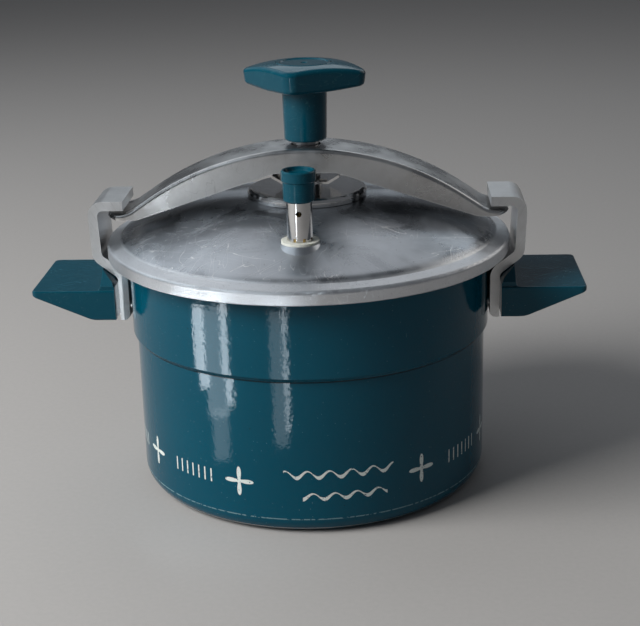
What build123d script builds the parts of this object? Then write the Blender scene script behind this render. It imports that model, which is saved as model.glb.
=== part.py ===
"""Stovetop pressure cooker with a screw clamp yoke, in millimetres, +Z up.

The origin is the centre of the base. The two side handles lie along X.
"""
from build123d import *
from math import sqrt
import os

# ---------------------------------------------------------------- driving sizes
BODY_R = 110.0          # outer radius of the pot below its step
BAND_R = 112.5          # outer radius of the upper band
WALL = 3.0
BASE_T = 5.0
BASE_CORNER = 11.0
STEP_LOW_Z = 96.5
STEP_HIGH_Z = 99.5
RIM_R = 117.5           # rim flange that the gasket closes on
RIM_TOP = 151.2
RIM_T = 3.0

LID_R = 125.0
LID_T = 2.5
LID_EDGE_Z = 147.2      # lower edge of the lid's skirt
CREASE_R = 117.2
CREASE_Z = 157.5
DOME_TOP = 181.5
DOME_CURVE = 312.0      # radius of curvature of the dome
DOME_BREAK_R = 111.5    # where the dome turns down to the crease

CUP_R = 37.0
CUP_TOP = 184.5
CUP_T = 2.0

STUD_SHOULDER_Z = 188.9
STUD_TOP = 192.6
STUD_R = 8.9
STUD_NECK_R = 6.5
SOCKET_R = 5.3
SOCKET_FLOOR_Z = 184.0

PLATE_T = 1.5
PLATE_HALF_W = 15.0

SCREW_R = 8.0
SCREW_FOOT_R = 5.1
SCREW_GROOVE_R = 3.9
SCREW_TOP = 250.0
PIN_Z = 186.6
PIN_R = 0.95

YOKE_HALF_W = 19.0
YOKE_T = 3.0
YOKE_TOP = 211.5
YOKE_CURVE = 174.0      # radius of the arched top
YOKE_BREAK_X = 97.0
YOKE_MID_Z = 196.8      # lower edge of the side walls at the middle
TONGUE_TOP = 172.3
TONGUE_LOW = 168.5
TONGUE_X = 124.0

BRACKET_T = 5.8
BRACKET_HALF_W = 20.0
HOOK_Z = 178.0          # mid-thickness height of the hook's top arm
HOOK_X = 131.7
LEG_X = 115.45
LEG_LOW_Z = 104.5

HANDLE_TIP = 170.0
HANDLE_HALF_W = 35.0
HANDLE_TOP = 128.4
HANDLE_LOW = 109.5
HANDLE_BLOCK_X = 127.0
HANDLE_KNEE_X = 133.0   # where the underside starts to slope up to the tip
HANDLE_X = 118.4        # the face that sits against the bracket leg

RIVET_Y = 11.0
RIVET_Z = 112.0
RIVET_R = 2.6
HANDLE_SCREW_Z = 117.0
HANDLE_SCREW_R = 2.9

KNOB_STEM_LOW = 214.3
KNOB_STEM_TOP = 246.0
KNOB_TOP = 261.4
KNOB_LONG = 44.3        # half diagonals of the head's plan before its corners are rounded
KNOB_SHORT = 34.4
KNOB_TURN = -13.5
KNOB_EDGE = 2.6         # rounding round the head
MEDALLION_R = 17.0
MEDALLION_T = 2.4

VALVE_Y = -79.5
VALVE_SEAT_Z = 170.8
SAFETY_Y = 60.0
SAFETY_SEAT_Z = 175.0


# ---------------------------------------------------------------- small helpers
def turned(*points, x=0.0, y=0.0):
    """A solid of revolution about the vertical line through (x, y)."""
    outline = Polyline(*points, close=True)
    return Pos(x, y, 0) * revolve(Plane.XZ * make_face(outline), Axis.Z)


def post(radius, low, high, x=0.0, y=0.0):
    """A vertical cylinder between two heights."""
    return Pos(x, y, (low + high) / 2) * Cylinder(radius, high - low)


def ring(outer, inner, low, high, x=0.0, y=0.0):
    """A vertical tube between two heights."""
    return post(outer, low, high, x, y) - post(inner, low, high, x, y)


def rod_along_x(radius, low, high, y, z):
    """A cylinder along X between two stations."""
    return Pos((low + high) / 2, y, z) * Rot(0, 90, 0) * Cylinder(radius, abs(high - low))


def hex_nut(across_flats, bore, low, high, x, y):
    """A hexagon nut with a plain bore."""
    hexagon = RegularPolygon(across_flats / sqrt(3), 6)
    body = Pos(x, y, low) * extrude(hexagon, high - low)
    blank = Pos(x, y, (low + high) / 2) * Cylinder(across_flats * 0.555, high - low)
    blank = chamfer(blank.edges(), 0.5)
    return body & blank - post(bore, low - 1, high + 1, x, y)


def dome_z(radius, depth=0.0):
    """Height of the dome's surface at a radius, depth below its outer side."""
    return DOME_TOP - DOME_CURVE + sqrt((DOME_CURVE - depth)**2 - radius**2)


def coil(radius, wire, low, high, turns, x=0.0, y=0.0):
    """A compression spring between two heights."""
    height = high - low - 2 * wire
    path = Helix(height / turns, height, radius)
    start = path @ 0
    section = Plane(origin=start, z_dir=path % 0) * Circle(wire)
    return Pos(x, y, low + wire) * sweep(section, path, is_frenet=True)


# ---------------------------------------------------------------- the pot
def pot_body():
    inner_band = BAND_R - WALL
    inner_body = BODY_R - WALL
    with BuildSketch(Plane.XZ) as profile:
        with BuildLine():
            base = Line((0, 0), (BODY_R - BASE_CORNER, 0))
            corner = TangentArc(base @ 1, (BODY_R, BASE_CORNER), tangent=(1, 0))
            Line(corner @ 1, (BODY_R, STEP_LOW_Z))
            Line((BODY_R, STEP_LOW_Z), (BAND_R, STEP_HIGH_Z))
            Line((BAND_R, STEP_HIGH_Z), (BAND_R, 143.5))
            Line((BAND_R, 143.5), (BAND_R + 2.2, RIM_TOP - RIM_T))
            Line((BAND_R + 2.2, RIM_TOP - RIM_T), (RIM_R, RIM_TOP - RIM_T))
            Line((RIM_R, RIM_TOP - RIM_T), (RIM_R, RIM_TOP))
            Line((RIM_R, RIM_TOP), (inner_band + 2.0, RIM_TOP))
            Line((inner_band + 2.0, RIM_TOP), (inner_band, RIM_TOP - 2.0))
            Line((inner_band, RIM_TOP - 2.0), (inner_band, STEP_HIGH_Z + 0.6))
            Line((inner_band, STEP_HIGH_Z + 0.6), (inner_body, STEP_LOW_Z + 0.6))
            Line((inner_body, STEP_LOW_Z + 0.6), (inner_body, BASE_T + 9))
            TangentArc((inner_body, BASE_T + 9), (inner_body - 9, BASE_T), tangent=(0, -1))
            Line((inner_body - 9, BASE_T), (0, BASE_T))
            Line((0, BASE_T), (0, 0))
        make_face()
    pot = revolve(profile.sketch, Axis.Z)
    for side in (-1, 1):
        for y in (-RIVET_Y, RIVET_Y):
            pot -= rod_along_x(RIVET_R, side * 100, side * 116, y, RIVET_Z)
    return pot


def bracket(side):
    """A flat bar bent into the hook that the yoke pulls up against, and its riveted leg."""
    line = FilletPolyline(
        (112.5, HOOK_Z),
        (HOOK_X, HOOK_Z),
        (130.3, 145.4),
        (LEG_X, 133.6),
        (LEG_X, LEG_LOW_Z),
        radius=(6.2, 6.5, 7.0),
    )
    bar = trace(line, BRACKET_T)
    bar = extrude(Plane.XZ * bar, BRACKET_HALF_W, both=True)
    inner_x = LEG_X - BRACKET_T / 2
    bevel = Polyline(
        (inner_x - 1, BRACKET_HALF_W - 2.4),
        (inner_x - 1, BRACKET_HALF_W + 1),
        (inner_x + 4.6, BRACKET_HALF_W + 1),
        (inner_x + 3.6, BRACKET_HALF_W),
        close=True,
    )
    bar -= Pos(0, 0, LEG_LOW_Z - 1) * extrude(make_face(bevel), 30.0)
    foot = bar.edges().filter_by(Axis.Y).sort_by(Axis.Z)[0:2].sort_by(Axis.X)[0]
    bar = chamfer(foot, 2.0)
    for y in (-RIVET_Y, RIVET_Y):
        bar -= rod_along_x(RIVET_R, 110, 120, y, RIVET_Z)
        sink = Cone(RIVET_R, 5.2, 2.4)
        bar -= Pos(LEG_X + BRACKET_T / 2 - 1.2, y, RIVET_Z) * Rot(0, 90, 0) * sink
    bar -= rod_along_x(HANDLE_SCREW_R + 0.05, 110, 122, 0, HANDLE_SCREW_Z)
    return bar if side > 0 else Rot(0, 0, 180) * bar


def bracket_rivets():
    """Countersunk outside, round-headed inside the pot."""
    outer = LEG_X + BRACKET_T / 2
    inner = BAND_R - WALL - 1.4
    rivets = []
    for y in (-RIVET_Y, RIVET_Y):
        shank = rod_along_x(RIVET_R - 0.03, inner - 1.0, outer - 0.3, y, RIVET_Z)
        sink = Pos(outer - 1.25, y, RIVET_Z) * Rot(0, 90, 0) * Cone(RIVET_R - 0.05, 4.9, 2.3)
        ball = Pos(inner + 3.2, y, RIVET_Z) * Sphere(6.0)
        slab = Pos(inner - 2.5, y, RIVET_Z) * Box(5, 14, 14)
        rivet = shank + sink + (ball & slab)
        rivets.append(rivet)
        rivets.append(mirror(rivet, Plane.YZ))
    return rivets


def handle(side):
    """Moulded grip with a block that rises under the bracket's diagonal and a hollow for its screw."""
    side_view = Polyline(
        (HANDLE_X, HANDLE_LOW),
        (HANDLE_KNEE_X, HANDLE_LOW),
        (HANDLE_TIP, HANDLE_TOP - 3.2),
        (HANDLE_TIP, HANDLE_TOP),
        (HANDLE_X, HANDLE_TOP),
        close=True,
    )
    grip = extrude(Plane.XZ * make_face(side_view), HANDLE_HALF_W, both=True)
    knee = grip.edges().filter_by(Axis.Y).sort_by(lambda e: abs(e.center().X - HANDLE_KNEE_X))[0]
    grip = fillet(knee, 16)
    tips = grip.edges().filter_by(Axis.Z).sort_by(Axis.X)[-2:]
    grip = fillet(tips, 3.5)
    grip = fillet(grip.edges().filter_by(lambda e: e.center().X > HANDLE_X + 2), 0.9)
    block_side = Polyline(
        (HANDLE_X, HANDLE_TOP - 4),
        (HANDLE_X, 129.9),
        (120.2, 133.0),
        (HANDLE_BLOCK_X, 138.4),
        (HANDLE_BLOCK_X, HANDLE_TOP - 4),
        close=True,
    )
    block_front = Polyline(
        (-HANDLE_HALF_W + 1.2, HANDLE_TOP - 4),
        (-HANDLE_HALF_W + 1.2, HANDLE_TOP + 2.8),
        (-BRACKET_HALF_W - 0.5, 139.5),
        (BRACKET_HALF_W + 0.5, 139.5),
        (HANDLE_HALF_W - 1.2, HANDLE_TOP + 2.8),
        (HANDLE_HALF_W - 1.2, HANDLE_TOP - 4),
        close=True,
    )
    block = extrude(Plane.XZ * make_face(block_side), HANDLE_HALF_W, both=True)
    block &= Pos(HANDLE_X - 2, 0, 0) * extrude(Plane.YZ * make_face(block_front), 30)
    part = grip + block
    foot = part.edges().filter_by(Axis.Y)
    foot = foot.filter_by(lambda e: abs(e.center().X - HANDLE_BLOCK_X) < 0.1)
    foot = foot.filter_by(lambda e: abs(e.center().Z - HANDLE_TOP) < 0.1)
    part = fillet(foot, 2.5)
    pocket = Pos(140.0, 0, HANDLE_LOW + 5.5) * Box(18, 20, 17)
    part -= fillet(pocket.edges().filter_by(Axis.X), 3)
    part -= rod_along_x(HANDLE_SCREW_R + 0.4, HANDLE_X - 1, 133, 0, HANDLE_SCREW_Z)
    return part if side > 0 else mirror(part, Plane.YZ)


def handle_screws():
    """One pan-head screw a side, from the hollow under the grip into the bracket leg."""
    shank = rod_along_x(HANDLE_SCREW_R - 0.05, 112.8, 131.9, 0, HANDLE_SCREW_Z)
    head = rod_along_x(5.0, 131.9, 134.9, 0, HANDLE_SCREW_Z)
    head = chamfer(head.edges().sort_by(Axis.X)[-1], 0.9)
    slot = Pos(134.6, 0, HANDLE_SCREW_Z) * Box(1.6, 12, 1.2)
    screw = shank + head - slot
    return [screw, mirror(screw, Plane.YZ)]


def handle_washers():
    washer = rod_along_x(6.2, 131.05, 131.85, 0, HANDLE_SCREW_Z)
    washer -= rod_along_x(HANDLE_SCREW_R + 0.1, 130, 133, 0, HANDLE_SCREW_Z)
    return [washer, mirror(washer, Plane.YZ)]


# ---------------------------------------------------------------- the lid
def seat_flat(lid, y, radius, seat_z, nut_room):
    """A level seat for a fitting on the sloping dome, recessed below for its nut."""
    lid += Pos(0, y, seat_z - 3.0) * Cone(radius + 5.0, radius, 6.0)
    lid -= post(radius, seat_z, seat_z + 8, 0, y)
    return lid - post(nut_room, seat_z - 16, seat_z - LID_T, 0, y)


def lid_shell():
    """Domed lid whose rim band and skirt close over the pot's rim flange."""
    inner_r = LID_R - LID_T
    inner_mid = (60, dome_z(60, LID_T))
    inner_end = (108.4, dome_z(108.4, LID_T))
    with BuildSketch(Plane.XZ) as profile:
        with BuildLine():
            ThreePointArc((0, DOME_TOP), (60, dome_z(60)), (DOME_BREAK_R, dome_z(DOME_BREAK_R)))
            ThreePointArc((DOME_BREAK_R, dome_z(DOME_BREAK_R)), (114.8, 159.35), (CREASE_R, CREASE_Z))
            Line((CREASE_R, CREASE_Z), (123.2, 155.5))
            ThreePointArc((123.2, 155.5), (124.5, 154.8), (LID_R, 153.5))
            Line((LID_R, 153.5), (LID_R, LID_EDGE_Z + 0.6))
            Line((LID_R, LID_EDGE_Z + 0.6), (LID_R - 0.6, LID_EDGE_Z))
            Line((LID_R - 0.6, LID_EDGE_Z), (inner_r, LID_EDGE_Z))
            Line((inner_r, LID_EDGE_Z), (inner_r, 152.9))
            Line((inner_r, 152.9), (118.4, 155.0))
            Line((118.4, 155.0), (112.6, 155.0))
            Line((112.6, 155.0), (112.2, 156.4))
            ThreePointArc((112.2, 156.4), (110.9, 157.9), inner_end)
            ThreePointArc(inner_end, inner_mid, (0, DOME_TOP - LID_T))
            Line((0, DOME_TOP - LID_T), (0, DOME_TOP))
        make_face()
    lid = revolve(profile.sketch, Axis.Z)
    lid = seat_flat(lid, VALVE_Y, 11.3, VALVE_SEAT_Z, 8.8)
    lid = seat_flat(lid, SAFETY_Y, 11.0, SAFETY_SEAT_Z, 9.3)
    lid -= post(5.05, 170, 190)
    lid -= post(4.1, 160, 180, 0, VALVE_Y)
    return lid - post(4.6, 160, 190, 0, SAFETY_Y)


def lid_gasket():
    """Sealing ring with an inner lip that the pressure spreads."""
    return turned(
        (108.6, RIM_TOP + 0.9), (109.4, RIM_TOP + 0.3), (116.4, RIM_TOP + 0.3),
        (116.4, 154.9), (112.7, 154.9), (111.4, 153.9), (109.6, RIM_TOP + 1.6),
    )


def centre_cup():
    """Spun cup on the dome that spreads the screw's thrust."""
    inner = CUP_R - CUP_T
    foot = dome_z(inner) + 0.02
    cup = turned(
        (inner, foot), (CUP_R, foot), (CUP_R, CUP_TOP - 2.2), (CUP_R - 0.7, CUP_TOP - 0.7),
        (CUP_R - 2.2, CUP_TOP), (STUD_R + 0.1, CUP_TOP), (STUD_R + 0.1, CUP_TOP - CUP_T),
        (inner, CUP_TOP - CUP_T),
    )
    return cup


def centre_stud():
    """Riveted stud whose socket holds the foot of the screw and whose neck carries the plate."""
    return turned(
        (0, 175.1), (7.5, 175.1), (9.0, 176.9), (9.0, 178.8), (5.0, 178.8), (5.0, 181.6), (14.0, 181.6),
        (14.0, CUP_TOP - CUP_T - 0.05), (STUD_R, CUP_TOP - CUP_T - 0.05), (STUD_R, STUD_SHOULDER_Z),
        (STUD_NECK_R, STUD_SHOULDER_Z), (STUD_NECK_R, STUD_TOP - 1.6), (STUD_NECK_R - 0.5, STUD_TOP - 1.6),
        (STUD_NECK_R - 0.5, STUD_TOP - 0.8), (STUD_NECK_R, STUD_TOP - 0.8), (STUD_NECK_R, STUD_TOP),
        (SOCKET_R, STUD_TOP), (SOCKET_R, SOCKET_FLOOR_Z), (0, SOCKET_FLOOR_Z),
    ) - rod_along_x(PIN_R, -12, 12, SCREW_GROOVE_R + PIN_R + 0.1, PIN_Z)


def stud_pin():
    """Cross pin that lies in the screw's groove and keeps its foot in the socket."""
    return rod_along_x(PIN_R - 0.03, -8.3, 8.3, SCREW_GROOVE_R + PIN_R + 0.1, PIN_Z)


def plate_circlip():
    """Open retaining ring above the plate."""
    low = STUD_TOP - 1.55
    clip = ring(8.6, STUD_NECK_R - 0.4, low, low + 0.7)
    return clip - Pos(0, -7, low) * Box(5, 6, 4)


def retaining_plate():
    """Pressed plate that swivels on the stud, with wings turned up inside the yoke."""
    low = STUD_SHOULDER_Z + 0.1
    flat = low + PLATE_T / 2
    line = FilletPolyline((-20.5, low + 4.9), (-13.5, flat), (13.5, flat), (20.5, low + 4.9), radius=2.5)
    plate = extrude(Plane.XZ * trace(line, PLATE_T), PLATE_HALF_W, both=True)
    return plate - post(STUD_NECK_R + 0.08, low - 2, low + 8)


def vent_washer():
    return ring(11.0, 4.1, VALVE_SEAT_Z, VALVE_SEAT_Z + 1.5, 0, VALVE_Y)


def vent_nozzle():
    """Turned steam pipe: nut thread below, guide and small orifice above."""
    pipe = turned(
        (0, 159.5), (4.0, 159.5), (4.0, 172.3), (6.6, 172.3), (6.6, 174.6), (5.0, 175.4), (5.0, 181.0),
        (2.6, 184.0), (0, 184.0), x=0, y=VALVE_Y,
    )
    pipe -= post(2.2, 158, 178, 0, VALVE_Y)
    return pipe - post(1.3, 170, 190, 0, VALVE_Y)


def vent_nut():
    return hex_nut(14.0, 4.02, 164.4, VALVE_SEAT_Z - LID_T - 0.02, 0, VALVE_Y)


def safety_seal():
    return ring(9.0, 4.6, SAFETY_SEAT_Z, SAFETY_SEAT_Z + 1.4, 0, SAFETY_Y)


def safety_housing():
    """Body of the spring-loaded safety valve."""
    low = SAFETY_SEAT_Z + 1.42
    body = turned(
        (0, 163.0), (4.5, 163.0), (4.5, low), (7.6, low), (7.6, low + 3.4), (6.2, low + 4.2), (6.2, 191.0),
        (5.4, 191.8), (0, 191.8), x=0, y=SAFETY_Y,
    )
    body -= post(2.0, 160, 180, 0, SAFETY_Y)
    body -= post(4.6, 177.0, 190.2, 0, SAFETY_Y)
    body -= post(1.75, 185, 195, 0, SAFETY_Y)
    return body - Pos(0, SAFETY_Y, 186.5) * Rot(0, 90, 0) * Cylinder(1.3, 20)


def safety_nut():
    return hex_nut(15.0, 4.52, 166.0, SAFETY_SEAT_Z - LID_T - 0.02, 0, SAFETY_Y)


def safety_plunger():
    """Disc and stem that lift together when the pot is over-pressurised."""
    return turned(
        (0, 177.3), (3.6, 177.3), (4.1, 177.8), (4.1, 179.3), (1.7, 179.3), (1.7, 192.9), (1.2, 193.6),
        (0, 193.6), x=0, y=SAFETY_Y,
    )


def safety_spring():
    return coil(3.3, 0.45, 179.35, 190.15, 6, 0, SAFETY_Y)


# ---------------------------------------------------------------- the yoke
def yoke_side(drop):
    """Side view of the yoke; drop lowers the top line to give the channel inside it."""
    top_mid = YOKE_TOP - drop
    arc_half = YOKE_CURVE - drop
    break_x = YOKE_BREAK_X * arc_half / YOKE_CURVE
    break_z = top_mid - arc_half + sqrt(arc_half**2 - break_x**2)
    slope = break_x / sqrt(arc_half**2 - break_x**2)
    tongue = TONGUE_TOP - drop
    foot_x = break_x + (break_z - tongue) / slope
    top = [(-break_x, break_z), (0, top_mid), (break_x, break_z)]
    tip_x = TONGUE_X - 2 * drop
    if drop:
        under = [(tip_x, tongue), (tip_x, 150), (-tip_x, 150), (-tip_x, tongue)]
    else:
        under = [
            (tip_x, tongue), (tip_x, TONGUE_LOW + 1.6), (118, TONGUE_LOW), (105, TONGUE_LOW),
            (19, YOKE_MID_Z), (-19, YOKE_MID_Z), (-105, TONGUE_LOW), (-118, TONGUE_LOW),
            (-tip_x, TONGUE_LOW + 1.6), (-tip_x, tongue),
        ]
    arch = ThreePointArc(*top)
    rest = Polyline(top[2], (foot_x, tongue), *under, (-foot_x, tongue), top[0])
    face = make_face([arch, rest])
    turns = face.vertices().filter_by(lambda v: abs(abs(v.X) - foot_x) < 0.01)
    face = fillet(turns, 18 + drop)
    if not drop:
        lows = face.vertices().filter_by(lambda v: abs(abs(v.X) - 105) < 0.01)
        face = fillet(lows, 16)
        mids = face.vertices().filter_by(lambda v: abs(abs(v.X) - 19) < 0.01)
        face = fillet(mids, 14)
    return face


def yoke():
    """Pressed channel with its open side down and flattened tongues under the hooks."""
    bar = extrude(Plane.XZ * yoke_side(0), YOKE_HALF_W, both=True)
    tips = bar.edges().filter_by(Axis.Z).filter_by(lambda e: abs(e.center().X) > TONGUE_X - 1)
    bar = fillet(tips, 13)
    rounded = bar.edges().filter_by(lambda e: abs(abs(e.center().Y) - YOKE_HALF_W) < 0.05)
    rounded = rounded.filter_by(lambda e: e.center().Z > 172 + max(0, 95 - abs(e.center().X)) * 0.33)
    bar = fillet(rounded, 2.4)
    bar -= extrude(Plane.XZ * yoke_side(YOKE_T), YOKE_HALF_W - YOKE_T, both=True)
    return bar - post(9.3, 190, 220)


def thread_bush():
    """Nut welded under the yoke's top plate."""
    top = YOKE_TOP - YOKE_T - 0.75
    return ring(14.5, SCREW_R + 0.06, YOKE_MID_Z + 0.4, top)


# ---------------------------------------------------------------- the clamp screw
def clamp_screw():
    """Screw with a grooved foot; its thread is modelled as a plain shaft."""
    foot = SOCKET_FLOOR_Z + 0.1
    groove_low = PIN_Z - 1.2
    groove_high = PIN_Z + 1.2
    screw = turned(
        (0, foot), (SCREW_FOOT_R - 0.8, foot), (SCREW_FOOT_R, foot + 0.6), (SCREW_FOOT_R, groove_low),
        (SCREW_GROOVE_R, groove_low), (SCREW_GROOVE_R, groove_high), (SCREW_FOOT_R, groove_high),
        (SCREW_FOOT_R, STUD_TOP + 0.3), (SCREW_R, STUD_TOP + 1.6), (SCREW_R, SCREW_TOP), (0, SCREW_TOP),
    )
    return screw - post(2.6, SCREW_TOP - 18, SCREW_TOP + 1)


def knob_plan():
    """Rounded rhombus, longer along X."""
    plan = make_face(Polyline((KNOB_LONG, 0), (0, KNOB_SHORT), (-KNOB_LONG, 0), (0, -KNOB_SHORT), close=True))
    plan = fillet(plan.vertices().filter_by(lambda v: abs(v.X) > 1), 8.0)
    return fillet(plan.vertices().filter_by(lambda v: abs(v.X) < 0.01), 9.0)


def knob():
    """Moulded knob: tapered stem, rhombic head with a domed top and a recess for its cap."""
    plan = Pos(0, 0, KNOB_TOP + 1) * Rot(0, 0, KNOB_TURN) * knob_plan()
    low = KNOB_STEM_TOP - 0.2
    head = extrude(plan, amount=-(KNOB_TOP + 1 - low), taper=7)
    with BuildSketch(Plane.XZ) as dome:
        with BuildLine():
            Line((0, 240), (50, 240))
            Line((50, 240), (50, 251.0))
            ThreePointArc((50, 251.0), (34, 258.0), (18.5, KNOB_TOP - 0.2))
            Line((18.5, KNOB_TOP - 0.2), (0, KNOB_TOP - 0.2))
            Line((0, KNOB_TOP - 0.2), (0, 240))
        make_face()
    head &= revolve(dome.sketch, Axis.Z)
    with BuildSketch(Plane.XZ) as hollow:
        with BuildLine():
            ThreePointArc((-50, low + 4.2), (0, low - 0.6), (50, low + 4.2))
            Line((50, low + 4.2), (50, low - 9))
            Line((50, low - 9), (-50, low - 9))
            Line((-50, low - 9), (-50, low + 4.2))
        make_face()
    head -= Rot(0, 0, KNOB_TURN) * extrude(hollow.sketch, 60, both=True)
    head = fillet(head.edges().filter_by(lambda e: e.center().Z < KNOB_TOP - 0.6), KNOB_EDGE)
    stem = turned((0, KNOB_STEM_LOW), (12.4, KNOB_STEM_LOW), (13.0, 215.2), (13.8, low + 2), (0, low + 2))
    body = head + stem
    body -= post(MEDALLION_R + 0.1, KNOB_TOP - MEDALLION_T, KNOB_TOP + 3)
    body -= post(SCREW_R + 0.02, KNOB_STEM_LOW - 1, SCREW_TOP + 0.1)
    body -= post(2.7, 230, KNOB_TOP + 3)
    return body - post(5.6, KNOB_TOP - MEDALLION_T - 4.4, KNOB_TOP + 3)


def knob_bolt():
    """Bolt that draws the knob down on the end of the screw."""
    low = KNOB_TOP - MEDALLION_T - 4.4
    bolt = post(2.55, SCREW_TOP - 14, low + 1) + post(5.0, low + 0.02, low + 3.4)
    return bolt - Pos(0, 0, low + 3.4) * Box(8, 1.2, 2.0)


def knob_cap():
    """Plain round disc let into the top of the knob."""
    low = KNOB_TOP - MEDALLION_T + 0.02
    cap = turned(
        (0, low), (MEDALLION_R, low), (MEDALLION_R, KNOB_TOP - 0.5), (MEDALLION_R - 0.7, KNOB_TOP),
        (MEDALLION_R - 2.2, KNOB_TOP), (MEDALLION_R - 2.8, KNOB_TOP - 0.5), (2.2, KNOB_TOP - 0.5),
        (1.6, KNOB_TOP - 1.3), (0, KNOB_TOP - 1.3),
    )
    return cap


# ---------------------------------------------------------------- the pressure valve
def valve_sleeve():
    """Chromed tube that drops over the nozzle, notched round its foot, with a cross hole."""
    low = VALVE_SEAT_Z + 1.8
    sleeve = ring(7.3, 5.4, low, 203.0, 0, VALVE_Y)
    sleeve -= post(7.0, low - 1, 175.3, 0, VALVE_Y)
    for k in range(8):
        turn = Pos(0, VALVE_Y, low) * Rot(0, 0, 22.5 + 45 * k)
        sleeve -= turn * Pos(7, 0, 0.6) * Box(4, 1.6, 2.6)
    return sleeve - Pos(0, VALVE_Y, 189.0) * Rot(90, 0, 0) * Cylinder(1.65, 30)


def valve_cap():
    """Moulded cap with a collar and a dished top, pressed on the sleeve."""
    cap = turned(
        (0, 195.2), (8.3, 195.2), (9.1, 196.0), (9.15, 206.4), (9.85, 207.2), (9.85, 212.4), (9.3, 213.0),
        (8.5, 213.0), (7.8, 211.0), (0, 209.2), x=0, y=VALVE_Y,
    )
    cap -= post(7.32, 195, 203.0, 0, VALVE_Y)
    cap -= post(4.4, 202, 205.0, 0, VALVE_Y)
    return cap


def valve_needle():
    """Weighted needle that the spring holds over the nozzle's orifice."""
    return turned(
        (0, 184.35), (1.0, 184.35), (3.0, 186.2), (5.0, 186.2), (5.0, 187.2), (2.0, 187.2), (2.0, 202.6),
        (0, 202.6), x=0, y=VALVE_Y,
    )


def valve_spring():
    return coil(3.4, 0.5, 187.25, 204.95, 7, 0, VALVE_Y)


# ---------------------------------------------------------------- write the files
def build():
    parts = {}
    parts["pot_body"] = pot_body()
    parts["bracket_right"] = bracket(1)
    parts["bracket_left"] = bracket(-1)
    parts["bracket_rivets"] = bracket_rivets()
    parts["handle_right"] = handle(1)
    parts["handle_left"] = handle(-1)
    parts["handle_screws"] = handle_screws()
    parts["handle_washers"] = handle_washers()
    parts["lid_shell"] = lid_shell()
    parts["lid_gasket"] = lid_gasket()
    parts["centre_cup"] = centre_cup()
    parts["centre_stud"] = centre_stud()
    parts["stud_pin"] = stud_pin()
    parts["plate_circlip"] = plate_circlip()
    parts["retaining_plate"] = retaining_plate()
    parts["vent_washer"] = vent_washer()
    parts["vent_nozzle"] = vent_nozzle()
    parts["vent_nut"] = vent_nut()
    parts["safety_seal"] = safety_seal()
    parts["safety_housing"] = safety_housing()
    parts["safety_nut"] = safety_nut()
    parts["safety_plunger"] = safety_plunger()
    parts["safety_spring"] = safety_spring()
    parts["yoke"] = yoke()
    parts["thread_bush"] = thread_bush()
    parts["clamp_screw"] = clamp_screw()
    parts["knob"] = knob()
    parts["knob_bolt"] = knob_bolt()
    parts["knob_cap"] = knob_cap()
    parts["valve_sleeve"] = valve_sleeve()
    parts["valve_cap"] = valve_cap()
    parts["valve_needle"] = valve_needle()
    parts["valve_spring"] = valve_spring()
    return parts


def write(parts):
    os.makedirs("parts", exist_ok=True)
    for name, shape in parts.items():
        if isinstance(shape, list):
            shape = Compound(children=shape)
        export_step(shape, f"parts/{name}.step")


write(build())
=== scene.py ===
"""Looks of the stovetop pressure cooker: its finishes, printed ornament, light and camera, in metres."""
from math import pi, radians

import bmesh
import bpy
from mathutils import Matrix, Vector

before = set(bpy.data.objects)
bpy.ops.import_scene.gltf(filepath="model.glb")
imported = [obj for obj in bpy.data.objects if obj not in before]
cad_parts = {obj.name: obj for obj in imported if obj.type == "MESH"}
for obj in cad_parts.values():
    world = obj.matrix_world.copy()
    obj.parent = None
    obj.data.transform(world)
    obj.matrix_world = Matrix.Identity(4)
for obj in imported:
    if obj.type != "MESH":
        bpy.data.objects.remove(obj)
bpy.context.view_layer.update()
MM = 0.001


# ---------------------------------------------------------------- shader tools
class Signal:
    """An output socket; arithmetic on it adds Math nodes to its material."""

    def __init__(self, finish, socket):
        self.finish = finish
        self.socket = socket

    def math(self, operation, *others):
        values = {0: self}
        for slot_number, other in enumerate(others, 1):
            values[slot_number] = other
        return self.finish.node("Math", values, operation=operation)

    def __add__(self, other):
        return self.math("ADD", other)

    def __mul__(self, other):
        return self.math("MULTIPLY", other)

    def __sub__(self, other):
        return self.math("SUBTRACT", other)

    def __truediv__(self, other):
        return self.math("DIVIDE", other)

    def __rsub__(self, other):
        return self.finish.node("Math", {0: other, 1: self}, operation="SUBTRACT")

    __radd__ = __add__
    __rmul__ = __mul__

    def above(self, edge, soft=0.0):
        """1 where the signal is over edge, fading over soft."""
        return self.ramp(edge - soft, edge + soft) if soft else self.math("GREATER_THAN", edge)

    def below(self, edge, soft=0.0):
        return 1.0 - self.above(edge, soft)

    def near(self, centre, reach):
        """1 within reach of centre."""
        return self.math("COMPARE", centre, reach)

    def ramp(self, low, high, to_low=0.0, to_high=1.0):
        values = {"Value": self, "From Min": low, "From Max": high, "To Min": to_low, "To Max": to_high}
        return self.finish.node("MapRange", values, interpolation_type="SMOOTHSTEP")


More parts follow.
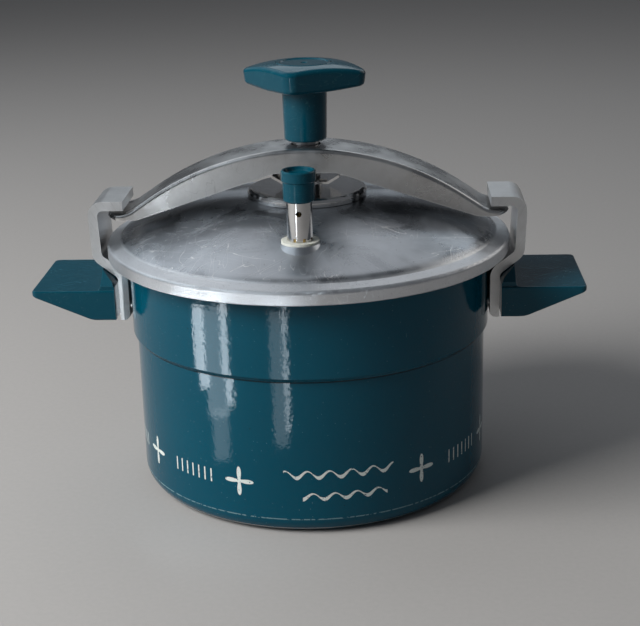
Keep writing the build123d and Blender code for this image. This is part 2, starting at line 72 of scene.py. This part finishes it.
class Finish:
    """A material and its node graph."""

    def __init__(self, name):
        self.material = bpy.data.materials.new(name)
        self.material.use_nodes = True
        self.tree = self.material.node_tree
        self.tree.nodes.clear()
        self.place = self.node("TexCoord", output="Object")
        axes = self.node("SeparateXYZ", {0: self.place}).socket.node
        self.x, self.y, self.z = (Signal(self, out) for out in axes.outputs)

    def node(self, kind, values=None, output=0, **settings):
        """Adds a shader node: its settings first, then the values or links of its sockets."""
        made = self.tree.nodes.new("ShaderNode" + kind)
        for key, setting in settings.items():
            setattr(made, key, setting)
        for key, value in (values or {}).items():
            if isinstance(value, Signal):
                self.tree.links.new(value.socket, made.inputs[key])
            else:
                made.inputs[key].default_value = value
        return Signal(self, made.outputs[output]) if made.outputs else None

    def radius(self):
        """Distance from the pot's axis."""
        return (self.x * self.x + self.y * self.y).math("SQRT")

    def stretched(self, across, along, up):
        """Object coordinates scaled differently on each axis."""
        return self.node("CombineXYZ", {0: self.x * across, 1: self.y * along, 2: self.z * up})

    def noise(self, scale, detail=2.0, roughness=0.5, at=None, distortion=0.0):
        values = {"Vector": at or self.place, "Scale": scale, "Detail": detail, "Roughness": roughness,
                  "Distortion": distortion}
        return self.node("TexNoise", values, output=0)

    def spots(self, scale, size, share):
        """Sparse round specks: 1 inside a speck. share is how many cells hold one."""
        values = {"Vector": self.place, "Scale": scale}
        cells = self.node("TexVoronoi", values, output="Distance")
        pick = Signal(self, cells.socket.node.outputs["Color"])
        chance = self.node("SeparateColor", {0: pick})
        return cells.below(size, size * 0.25) * chance.above(1.0 - share)

    def mix(self, low, high, factor):
        """Blend of two colours."""
        values = {0: factor, 6: low, 7: high}
        return self.node("Mix", values, output=2, data_type="RGBA")

    def bump(self, height, depth, normal=None):
        """Normal from a height signal of 0 to 1 that stands for depth metres."""
        values = {"Height": height, "Distance": depth, "Strength": 1.0}
        if normal:
            values["Normal"] = normal
        return self.node("Bump", values)

    def edge_wear_and_highlight(self, reach):
        """Brighter the sharper the edge within reach metres: rubbed wear on the phenolic, painted edge
        highlight on the yoke and bar, both on the turned metals.
        """
        rounded = self.node("Bevel", {"Radius": reach}, samples=4)
        true_normal = self.node("NewGeometry", output="True Normal")
        values = {0: rounded, 1: true_normal}
        turn = self.node("VectorMath", values, output="Value", operation="DOT_PRODUCT")
        return (1.0 - turn).ramp(0.02, 0.2)

    def surface(self, normal=None, **values):
        """The Principled shader; names match its sockets with _ for spaces."""
        sockets = {key.replace("_", " "): value for key, value in values.items()}
        if normal:
            sockets["Normal"] = normal
        return self.node("BsdfPrincipled", sockets)

    def done(self, shader):
        self.node("OutputMaterial", {"Surface": shader})
        return self.material


def grey(level):
    return (level, level, level, 1)


# ---------------------------------------------------------------- the printed band on the pot
POT_R = 110.0 * MM
BAND_Z = 32.5 * MM
STAR_START = radians(38.6)      # first star, turned from the front towards +X
STAR_STEP = radians(37.6)
STARS = 9
BAR_TURN = radians(20.0)        # from a star to the middle of the bars after it
BAR_STEP = 4.8 * MM
BAR_WIDTH = 0.95 * MM
BAR_HEIGHT = 8.4 * MM
BARS_EACH_SIDE = 3.0            # of the middle one
STAR_CORE = 1.6 * MM
STAR_RAY = 7.6 * MM             # how far a ray reaches past the core
SEAM_TURN = radians(20.0)       # the turn is counted from this far right of the front
WAVE_LENGTH = 13.0 * MM
# the two waves, in mm: height over the band's middle, first and last place along the wall, swing
WAVES = ((6.8, -12, 54, 2.1), (-7.2, -1, 50, 1.8))


def repeated(turn, start, count):
    """Signed arc length from the nearest of count places, STAR_STEP apart round the pot."""
    place = ((turn - start) / STAR_STEP).math("ROUND").math("MAXIMUM", 0.0).math("MINIMUM", count - 1.0)
    return (turn - start - place * STAR_STEP) * POT_R


def printed_band(f):
    """Plain ornament: four-pointed stars, groups of seven bars, and two brushed waves at the front."""
    signed = f.x.math("ARCTAN2", f.y * -1.0)
    turn = signed + signed.below(SEAM_TURN) * (2 * pi)
    height = f.z - BAND_Z
    bar_at = repeated(turn, STAR_START + BAR_TURN, STARS - 1)
    bar = (bar_at / BAR_STEP).math("ROUND").math("MAXIMUM", -BARS_EACH_SIDE).math("MINIMUM", BARS_EACH_SIDE)
    bars = (bar_at - bar * BAR_STEP).near(0.0, BAR_WIDTH / 2) * height.near(0.0, BAR_HEIGHT / 2)
    star_at = repeated(turn, STAR_START, STARS)
    reach = (star_at * star_at + height * height).math("SQRT")
    ray = (height.math("ARCTAN2", star_at) * 2.0).math("COSINE").math("ABSOLUTE").math("POWER", 5.0)
    stars = (STAR_CORE + ray * STAR_RAY - reach).above(0.0)
    along = signed * POT_R
    printed = bars.math("MAXIMUM", stars)
    for level, first, last, swing in WAVES:
        phase = along * (2 * pi / WAVE_LENGTH) + level
        middle = phase.math("SINE") * (swing * MM) + level * MM
        thick = ((phase + 0.9).math("COSINE") * 0.45 + 0.8) * MM
        line = (thick - (height - middle).math("ABSOLUTE")).above(0.0)
        line = line * along.above(first * MM) * along.below(last * MM)
        printed = printed.math("MAXIMUM", line)
    return printed * f.noise(900.0, 3.0).above(0.36, 0.03)


# ---------------------------------------------------------------- finishes
SHINE = {"IOR": 1.34, "Specular_IOR_Level": 0.36}    # of the enamel and the phenolic
PAINTED_R = 109.7 * MM          # the ornament is only on the wall outside this
FOOT_HIGHLIGHT_Z = 10.6 * MM
STEP_SHADE_Z = 96.6 * MM
BAND_INSIDE_R = 109.62 * MM     # bare metal starts inside these
BODY_INSIDE_R = 107.2 * MM
STEP_INSIDE_Z = 96.0 * MM
FLOOR_INSIDE_Z = 3.0 * MM
BARE_RIM_Z = 148.9 * MM
SOLE_Z = 0.25 * MM
LID_RIM_R = 116.2 * MM
HAIR_WIDTH = 0.003              # of a scratch, as a part of the noise's range


def enamel():
    """Glossy teal enamel outside, bare spun aluminium inside, on the rim and under the base."""
    f = Finish("enamel")
    radius = f.radius()
    cloud = f.noise(14.0, 3.0)
    colour = f.mix((0.0004, 0.050, 0.084, 1), (0.0007, 0.066, 0.106, 1), cloud)
    dust = f.spots(900.0, 0.17, 0.035)
    chips = f.spots(260.0, 0.10, 0.03)
    colour = f.mix(colour, (0.22, 0.36, 0.40, 1), dust * 0.55)
    colour = f.mix(colour, (0.01, 0.02, 0.025, 1), chips * 0.8)
    print_mask = printed_band(f) * radius.above(PAINTED_R)
    colour = f.mix(colour, (0.62, 0.68, 0.66, 1), print_mask)
    # painted highlight: a light line along the ridge at the pot's foot, broken up by noise
    foot_highlight = f.z.near(FOOT_HIGHLIGHT_Z, 0.35 * MM) * f.noise(500.0, 2.0).above(0.44, 0.04)
    colour = f.mix(colour, (0.16, 0.28, 0.31, 1), foot_highlight * 0.8)
    # painted shade: a dark line under the step in the wall, standing in for its dark reflection
    step_shade = f.z.near(STEP_SHADE_Z, 0.55 * MM)
    colour = f.mix(colour, (0.001, 0.012, 0.02, 1), step_shade * 0.85)
    gloss = 0.07 + cloud * 0.03 + print_mask * 0.18 + foot_highlight * 0.2
    normal = f.bump(f.noise(420.0, 2.0, 0.45), 0.11 * MM)
    normal = f.bump(f.noise(1900.0, 1.0), 0.008 * MM, normal)
    normal = f.bump(print_mask, 0.03 * MM, normal)
    paint = f.surface(normal, Base_Color=colour, Roughness=gloss, **SHINE)
    rings = f.noise(1.0, 3.0, 0.6, at=f.node("CombineXYZ", {0: radius * 2600.0, 1: f.z * 2200.0}))
    stain = f.noise(38.0, 4.0)
    metal_colour = f.mix(grey(0.42), grey(0.68), stain)
    metal_gloss = 0.26 + stain * 0.18 + rings * 0.1
    marked = f.bump(rings, 0.025 * MM)
    metal = f.surface(marked, Base_Color=metal_colour, Metallic=1.0, Roughness=metal_gloss)
    over_floor = f.z.above(FLOOR_INSIDE_Z)
    below_step = f.z.below(STEP_INSIDE_Z)
    body_inside = below_step * radius.below(BODY_INSIDE_R)
    band_inside = (1.0 - below_step) * radius.below(BAND_INSIDE_R)
    hollow = over_floor * (body_inside + band_inside)
    bare = (hollow + f.z.above(BARE_RIM_Z) + f.z.below(SOLE_Z)).math("MINIMUM", 1.0)
    return f.done(f.node("MixShader", {0: bare, 1: paint, 2: metal}))


def scratches(f, count=3, scale=70.0):
    """Fine random hairlines in a few directions."""
    total = None
    for k in range(count):
        move = {0: f.place, "Rotation": (0, 0, 0.5 + k * 2.1), "Location": (0.3 * k, 0.1 * k, 0.0)}
        turned = f.node("Mapping", move)
        stretch = (scale * 0.16, scale * 1.7, scale)
        long_way = f.node("VectorMath", {0: turned, 1: stretch}, operation="MULTIPLY")
        field = f.noise(1.0, 1.0, at=long_way, distortion=0.35)
        line = field.near(0.5 + 0.03 * k, HAIR_WIDTH)
        total = line if total is None else total.math("MAXIMUM", line)
    return total * f.noise(22.0, 2.0).above(0.46, 0.06)


def lid_aluminium():
    """Satin pressed aluminium: spin marks round the dome, water stains, hairlines and a pitted rim."""
    f = Finish("lid_aluminium")
    radius = f.radius()
    spin = f.noise(1.0, 4.0, 0.65, at=f.node("CombineXYZ", {0: radius * 3200.0, 1: f.z * 800.0}))
    stain = f.noise(26.0, 5.0, 0.6, distortion=0.6).ramp(0.34, 0.66)
    speck = f.spots(420.0, 0.16, 0.06)
    pits = f.noise(750.0, 3.0, 0.7).above(0.63, 0.03)
    rim = radius.above(LID_RIM_R, 0.8 * MM)
    hair = scratches(f)
    colour = f.mix((0.34, 0.36, 0.385, 1), (0.53, 0.555, 0.59, 1), stain)
    colour = f.mix(colour, grey(0.85), hair * 0.8)
    colour = f.mix(colour, grey(0.20), speck * 0.6)
    colour = f.mix(colour, grey(0.24), pits * rim * 0.75)
    # painted highlight: the rim's bead is made lighter all round
    colour = f.mix(colour, (0.78, 0.79, 0.81, 1), rim * 0.7)
    gloss = 0.17 + stain * 0.15 + spin * 0.10 + rim * 0.10 + pits * rim * 0.2
    normal = f.bump(spin, 0.012 * MM)
    normal = f.bump(hair, 0.02 * MM, normal)
    normal = f.bump(1.0 - pits * rim, 0.12 * MM, normal)
    normal = f.bump(f.noise(55.0, 2.0), 0.16 * MM, normal)
    return f.done(f.surface(normal, Base_Color=colour, Metallic=1.0, Roughness=gloss))


def yoke_aluminium():
    """Polished pressed aluminium with draw marks along its length."""
    f = Finish("yoke_aluminium")
    drawn = f.noise(1.0, 3.0, 0.6, at=f.stretched(30.0, 1400.0, 1400.0))
    cloud = f.noise(30.0, 4.0, 0.6).ramp(0.34, 0.66)
    hair = scratches(f, 2, 90.0)
    colour = f.mix(grey(0.42), grey(0.60), cloud)
    # painted highlight: the yoke's edges are made lighter
    colour = f.mix(colour, grey(0.78), f.edge_wear_and_highlight(1.6 * MM) * 0.8)
    colour = f.mix(colour, grey(0.35), hair * 0.4)
    gloss = 0.20 + cloud * 0.14 + drawn * 0.06
    normal = f.bump(drawn, 0.006 * MM)
    normal = f.bump(f.noise(60.0, 2.0), 0.22 * MM, normal)
    return f.done(f.surface(normal, Base_Color=colour, Metallic=1.0, Roughness=gloss))


def bar_aluminium():
    """Aluminium bar: slanting saw marks on the cut sides, rolling marks on the broad faces."""
    f = Finish("bar_aluminium")
    face = f.node("NewGeometry", output="True Normal")
    facing = f.node("SeparateXYZ", {0: face}).socket.node
    cut = Signal(f, facing.outputs["Y"]).math("ABSOLUTE").above(0.9)
    sawn = (f.x.math("ABSOLUTE") * 0.86 - f.z * 0.5) * 1500.0
    saw = f.noise(1.0, 3.0, 0.7, at=f.node("CombineXYZ", {0: sawn, 1: f.z * 60.0, 2: f.x * 40.0}))
    rolled = f.noise(1.0, 3.0, 0.6, at=f.stretched(140.0, 2400.0, 30.0))
    marks = saw * cut + rolled * (1.0 - cut)
    cloud = f.noise(70.0, 4.0, 0.65)
    colour = f.mix(grey(0.48), grey(0.70), cloud)
    # painted highlight: the bar's edges are made lighter
    colour = f.mix(colour, grey(0.82), f.edge_wear_and_highlight(0.8 * MM) * 0.5)
    colour = f.mix(colour, grey(0.40), marks.above(0.62, 0.05) * 0.35)
    gloss = 0.32 + cut * 0.08 + cloud * 0.12
    return f.done(f.surface(f.bump(marks, 0.05 * MM), Base_Color=colour, Metallic=1.0, Roughness=gloss))


def chrome():
    """Bright plating with faint polishing lines and a few dull spots."""
    f = Finish("chrome")
    lines = f.noise(1.0, 2.0, 0.6, at=f.stretched(900.0, 900.0, 2600.0))
    cloud = f.noise(120.0, 3.0)
    spots = f.spots(700.0, 0.15, 0.05)
    colour = f.mix(grey(0.50), grey(0.64), cloud)
    colour = f.mix(colour, grey(0.3), spots * 0.6)
    gloss = 0.05 + cloud * 0.05 + lines * 0.03 + spots * 0.3
    return f.done(f.surface(f.bump(lines, 0.003 * MM), Base_Color=colour, Metallic=1.0, Roughness=gloss))


def metal(name, dark, light, gloss_low, gloss_high):
    """Turned metal with lathe rings and handling marks; its edges are lighter, partly from wear, partly as
    a painted highlight.
    """
    f = Finish(name)
    rings = f.noise(1.0, 3.0, 0.6, at=f.stretched(160.0, 160.0, 1600.0))
    cloud = f.noise(160.0, 3.0)
    colour = f.mix(dark, light, cloud)
    # edges made lighter: partly handling wear, partly painted highlight
    colour = f.mix(colour, light, f.edge_wear_and_highlight(0.4 * MM) * 0.7)
    gloss = gloss_low + (cloud * 0.6 + rings * 0.4) * (gloss_high - gloss_low)
    return f.done(f.surface(f.bump(rings, 0.015 * MM), Base_Color=colour, Metallic=1.0, Roughness=gloss))


def phenolic():
    """Glossy moulded phenolic with a faint ripple, dust and rubbed edges."""
    f = Finish("handle_phenolic")
    cloud = f.noise(45.0, 3.0)
    colour = f.mix((0.0006, 0.044, 0.072, 1), (0.0010, 0.058, 0.090, 1), cloud)
    rubbed = f.edge_wear_and_highlight(0.9 * MM) * f.noise(240.0, 3.0).above(0.42, 0.06)
    dust = f.spots(1100.0, 0.16, 0.05)
    hair = scratches(f, 2, 160.0)
    colour = f.mix(colour, (0.05, 0.17, 0.20, 1), rubbed * 0.35)
    colour = f.mix(colour, (0.30, 0.38, 0.40, 1), dust * 0.5)
    colour = f.mix(colour, (0.03, 0.11, 0.13, 1), hair * 0.5)
    gloss = 0.08 + cloud * 0.08 + rubbed * 0.2 + dust * 0.3 + hair * 0.15
    normal = f.bump(f.noise(130.0, 2.0), 0.10 * MM)
    normal = f.bump(f.noise(1500.0, 2.0), 0.006 * MM, normal)
    return f.done(f.surface(normal, Base_Color=colour, Roughness=gloss, **SHINE))


def milky_washer():
    """Milky heat-resistant plastic, a little yellowed."""
    f = Finish("milky_washer")
    cloud = f.noise(300.0, 3.0)
    colour = f.mix((0.50, 0.52, 0.47, 1), (0.70, 0.71, 0.66, 1), cloud)
    normal = f.bump(f.noise(1200.0, 2.0), 0.02 * MM)
    shader = f.surface(normal, Base_Color=colour, Roughness=0.30 + cloud * 0.2, Subsurface_Weight=0.35,
                       Subsurface_Radius=(0.002, 0.002, 0.0018), Subsurface_Scale=1.0)
    return f.done(shader)


def sealing_rubber():
    """Grey rubber with a dusty bloom and a fine moulded grain."""
    f = Finish("sealing_rubber")
    cloud = f.noise(220.0, 4.0)
    colour = f.mix(grey(0.10), grey(0.19), cloud)
    normal = f.bump(f.noise(1800.0, 2.0), 0.02 * MM)
    return f.done(f.surface(normal, Base_Color=colour, Roughness=0.55 + cloud * 0.2))


FINISHES = {
    "enamel": enamel(),
    "lid": lid_aluminium(),
    "yoke": yoke_aluminium(),
    "bar": bar_aluminium(),
    "chrome": chrome(),
    "cup": metal("spun_cup", grey(0.56), grey(0.76), 0.07, 0.15),
    "steel": metal("turned_steel", grey(0.30), grey(0.52), 0.22, 0.42),
    "brass": metal("turned_brass", (0.42, 0.27, 0.09, 1), (0.66, 0.47, 0.19, 1), 0.2, 0.4),
    "handles": phenolic(),
    "washer": milky_washer(),
    "rubber": sealing_rubber(),
}
# nodes not named here are of turned steel
NODE_FINISH = {
    "pot_body": "enamel", "lid_shell": "lid", "yoke": "yoke", "bracket_right": "bar", "bracket_left": "bar",
    "bracket_rivets": "bar", "centre_cup": "cup", "retaining_plate": "chrome", "valve_sleeve": "chrome",
    "handle_right": "handles", "handle_left": "handles", "knob": "handles", "knob_cap": "handles",
    "valve_cap": "handles", "vent_washer": "washer", "lid_gasket": "rubber", "safety_seal": "rubber",
    "vent_nozzle": "brass", "vent_nut": "brass", "safety_housing": "brass", "safety_nut": "brass",
    "valve_needle": "brass",
}


for node_name, node_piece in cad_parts.items():
    for material_slot in node_piece.material_slots:
        material_slot.material = FINISHES[NODE_FINISH.get(node_name, "steel")]


# ---------------------------------------------------------------- floor and light
FLOOR_HALF = 6.0


def floor():
    mesh = bpy.data.meshes.new("floor")
    shape = bmesh.new()
    bmesh.ops.create_grid(shape, x_segments=1, y_segments=1, size=FLOOR_HALF)
    shape.to_mesh(mesh)
    shape.free()
    piece = bpy.data.objects.new("floor", mesh)
    bpy.context.scene.collection.objects.link(piece)
    f = Finish("floor_paper")
    grain = f.noise(300.0, 3.0)
    colour = f.mix((0.36, 0.355, 0.35, 1), (0.40, 0.39, 0.385, 1), grain)
    piece.data.materials.append(f.done(f.surface(Base_Color=colour, Roughness=0.75)))


def soft_box(name, place, target, width, height, power, colour):
    """A rectangular light at place that faces target, unseen by the camera."""
    lamp = bpy.data.lights.new(name, "AREA")
    lamp.shape = "RECTANGLE"
    lamp.size = width
    lamp.size_y = height
    lamp.energy = power
    lamp.color = colour
    piece = bpy.data.objects.new(name, lamp)
    bpy.context.scene.collection.objects.link(piece)
    aim = Vector(target) - Vector(place)
    piece.matrix_world = Matrix.Translation(place) @ aim.to_track_quat("-Z", "Y").to_matrix().to_4x4()
    piece.visible_camera = False
    return piece


COOL = (0.84, 0.93, 1.0)
WARM = (1.0, 0.96, 0.91)
POT_MIDDLE = (0.0, 0.0, 0.1)
# cards that light only the gloss: name, place, target, width, height, radiance, colour
GLOSS_CARDS = (
    ("pane_left", (-0.1085, -0.1125, 0.094), (-0.048, -0.098, 0.094), 0.013, 0.056, 20.0, COOL),
    ("pane_right", (-0.092, -0.1415, 0.088), (-0.048, -0.098, 0.088), 0.009, 0.070, 22.0, COOL),
    ("pane_middle", (-0.100, -0.1275, 0.084), (-0.048, -0.098, 0.084), 0.028, 0.074, 6.5, COOL),
    ("pane_low", (-0.099, -0.1290, 0.034), (-0.048, -0.098, 0.034), 0.022, 0.034, 4.0, COOL),
    ("pane_far", (-0.030, -0.166, 0.076), (-0.012, -0.109, 0.076), 0.018, 0.090, 4.0, COOL),
    ("pane_far_edge", (-0.021, -0.167, 0.084), (-0.012, -0.109, 0.084), 0.005, 0.084, 13.0, COOL),
    ("stem_line", (-0.129, -0.325, 0.116), (0.0, 0.0, 0.235), 0.020, 0.028, 10.0, COOL),
    ("spark", (-1.3, -0.7, 1.1), POT_MIDDLE, 0.9, 0.9, 9.0, COOL),
    ("sky_left", (-1.5, 1.1, 1.5), (0.0, 0.0, 0.16), 2.0, 1.6, 0.50, COOL),
    ("sky_right", (1.5, 1.0, 1.2), (0.0, 0.0, 0.16), 1.4, 1.4, 0.85, WARM),
    ("yoke_top", (0.25, 1.6, 1.05), (0.0, 0.0, 0.2), 1.6, 0.5, 0.9, COOL),
)


def light():
    world = bpy.data.worlds.new("studio")
    world.use_nodes = True
    background = world.node_tree.nodes["Background"]
    background.inputs["Color"].default_value = (0.55, 0.58, 0.63, 1)
    background.inputs["Strength"].default_value = 0.18
    bpy.context.scene.world = world
    bpy.context.scene.view_settings.view_transform = "Standard"
    key = soft_box("key", (-1.3, -0.7, 1.1), POT_MIDDLE, 1.0, 1.0, 46.0, (1.0, 0.98, 0.95))
    key.visible_glossy = False
    soft_box("overhead", (-0.5, 0.9, 1.7), POT_MIDDLE, 2.4, 1.4, 6.0, (0.95, 0.97, 1.0))
    for name, place, target, width, height, radiance, colour in GLOSS_CARDS:
        power = radiance * pi * width * height
        soft_box(name, place, target, width, height, power, colour).visible_diffuse = False


# ---------------------------------------------------------------- camera
CAMERA_AT = Vector((0.0508, -0.8545, 0.390))
CAMERA_PITCH = radians(18.65)   # looking down
CAMERA_HEADING = radians(3.0)   # turned left from +Y
CAMERA_ROLL = radians(-1.49)
SENSOR = 36.0
FOCAL = 79.5


def camera():
    lens = bpy.data.cameras.new("camera")
    lens.sensor_width = SENSOR
    lens.lens = FOCAL
    lens.clip_start = 0.01
    piece = bpy.data.objects.new("camera", lens)
    bpy.context.scene.collection.objects.link(piece)
    turn = Matrix.Rotation(CAMERA_HEADING, 4, "Z") @ Matrix.Rotation(pi / 2 - CAMERA_PITCH, 4, "X")
    piece.matrix_world = Matrix.Translation(CAMERA_AT) @ turn @ Matrix.Rotation(CAMERA_ROLL, 4, "Z")
    bpy.context.scene.camera = piece


floor()
light()
camera()
